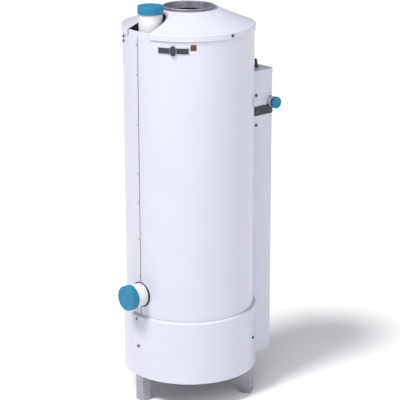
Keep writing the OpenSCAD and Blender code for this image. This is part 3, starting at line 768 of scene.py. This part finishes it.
@dataclass
class FoldedSheet:
    """Folded and pressed sheet pieces whose edges are eased, as a press brake leaves them."""

    pieces: tuple[tuple[str, str, float], ...] = (
        ("leg_inlet_side", "galvanised_steel", 0.0009), ("leg_front", "galvanised_steel", 0.0009),
        ("leg_rear", "galvanised_steel", 0.0009), ("gas_bracket", "black_paint", 0.0007),
        ("gas_valve", "cast_aluminium", 0.0016), ("thermostat_body", "cast_aluminium", 0.0018))

    def build(self, shop: PaintShop) -> None:
        """Ease the edges of each piece and put it in its node's place.

        Args:
            shop: Where the finishes come from.
        """
        for node, slot, width in self.pieces:
            piece = Bench.eased(node, f"{node}_eased", width)
            fit_out(piece, BODY, slot, shop, node)


@dataclass
class Studio:
    """Floor, lights and camera."""

    distance: float = 5.0
    height: float = 2.147
    azimuth: float = -41.004
    tilt: float = 16.90
    yaw: float = -0.383
    roll: float = -0.151
    lens: float = 148.2
    sensor: float = 36.0
    exposure: float = 0.0
    key_power: float = 2.55
    key_spread: float = 13.0
    key_place: tuple[float, float] = (-90.0, 60.0)

    def camera(self) -> None:
        """Stand the camera in front of the inlet side, a little above the heater."""
        turn = math.radians(self.azimuth)
        aim = math.radians(self.azimuth + self.yaw)
        data = bpy.data.cameras.new("studio_camera")
        data.lens = self.lens
        data.sensor_width = self.sensor
        data.clip_end = 50.0
        camera = bpy.data.objects.new("studio_camera", data)
        camera.location = (self.distance * math.sin(turn), -self.distance * math.cos(turn), self.height)
        look = Matrix.Rotation(aim, 4, "Z") @ Matrix.Rotation(math.radians(90.0 - self.tilt), 4, "X")
        camera.matrix_world = Matrix.Translation(camera.location) @ look @ Matrix.Rotation(
            math.radians(self.roll), 4, "Z")
        bpy.context.scene.collection.objects.link(camera)
        bpy.context.scene.camera = camera

    def sky_key(self) -> None:
        """Light the whole floor evenly from the upper left with one broad, soft source."""
        azimuth, elevation = (math.radians(angle) for angle in self.key_place)
        back = Vector((math.sin(azimuth) * math.cos(elevation), -math.cos(azimuth) * math.cos(elevation),
                       math.sin(elevation)))
        data = bpy.data.lights.new("key_light", "SUN")
        data.energy = self.key_power
        data.angle = math.radians(self.key_spread)
        data.color = (1.0, 0.985, 0.955)
        light = bpy.data.objects.new("key_light", data)
        light.rotation_euler = back.to_track_quat("Z", "Y").to_euler()
        light.location = back * 4.0
        bpy.context.scene.collection.objects.link(light)

    def floor(self) -> None:
        """Lay a plain pale floor."""
        ground = Bench.start("studio_floor", bpy.ops.mesh.primitive_plane_add, size=60.0)
        sheet = NodeSheet("studio_floor")
        clouds = sheet.noise(sheet.place((1.0, 1.0, 1.0)), 0.8, 2.0)
        tone = sheet.blend(clouds, "Fac", (0.955, 0.955, 0.955), (0.97, 0.97, 0.97))
        sheet.join(tone, 2, sheet.shader, "Base Color")
        sheet.shader.inputs["Roughness"].default_value = 0.9
        ground.data.materials.append(sheet.material)

    def panel(self, name: str, place: tuple[float, float, float], size: float, power: float,
              tint: Colour = (1.0, 1.0, 1.0)) -> None:
        """Hang a square soft box that faces the heater.

        Args:
            name: Name of the light.
            place: Azimuth and elevation in degrees, and distance in metres.
            size: Side of the light, in metres.
            power: Power, in watts.
            tint: Colour of the light.
        """
        azimuth, elevation, distance = math.radians(place[0]), math.radians(place[1]), place[2]
        back = Vector((math.sin(azimuth) * math.cos(elevation), -math.cos(azimuth) * math.cos(elevation),
                       math.sin(elevation)))
        data = bpy.data.lights.new(name, "AREA")
        data.size = size
        data.energy = power
        data.color = tint
        light = bpy.data.objects.new(name, data)
        light.location = Vector((0.0, 0.0, 0.65)) + back * distance
        light.rotation_euler = back.to_track_quat("Z", "Y").to_euler()
        bpy.context.scene.collection.objects.link(light)

    def build(self) -> None:
        """Set up everything that is not the heater."""
        self.camera()
        self.floor()
        world = bpy.data.worlds.new("studio_world")
        world.use_nodes = True
        background = world.node_tree.nodes["Background"]
        background.inputs["Color"].default_value = (0.93, 0.945, 1.0, 1.0)
        background.inputs["Strength"].default_value = 0.40
        bpy.context.scene.world = world
        view = bpy.context.scene.view_settings
        view.view_transform = "Standard"
        view.exposure = self.exposure
        self.sky_key()
        self.panel("top_box", (-62.0, 50.0, 2.2), 1.2, 13.0)
        self.panel("fill_box", (-5.0, 34.0, 3.0), 1.6, 20.0, (0.96, 0.97, 1.0))


def main() -> None:
    """Build the heater's looks, piece by piece."""
    logging.basicConfig(level=logging.INFO, format="%(name)s: %(message)s")
    shop = PaintShop(FINISHES)
    shop.dress_nodes()
    Studio().build()
    stubs = (PipeStub("outlet_nipple", "outlet_cap", Vector((0.0, 0.0, 1.0)), 3.175 * MM, 7, 5.15 * MM),
             PipeStub("inlet_nipple", "inlet_cap", Vector((-1.0, 0.0, 0.0)), 3.175 * MM, 7, 5.15 * MM),
             PipeStub("gas_nipple", "gas_cap", Vector((0.0, -1.0, 0.0)), 2.209 * MM, 5, 3.4 * MM))
    for stub in stubs:
        stub.pipe(shop)
        stub.cap(shop)
    badge = Badge()
    badge.plate(shop)
    badge.boss(shop)
    badge.label(shop)
    trim = JacketTrim()
    trim.lap_edge_shade_line(shop)
    trim.rubber_ring(shop)
    FoldedSheet().build(shop)


if __name__ == "__main__":
    main()
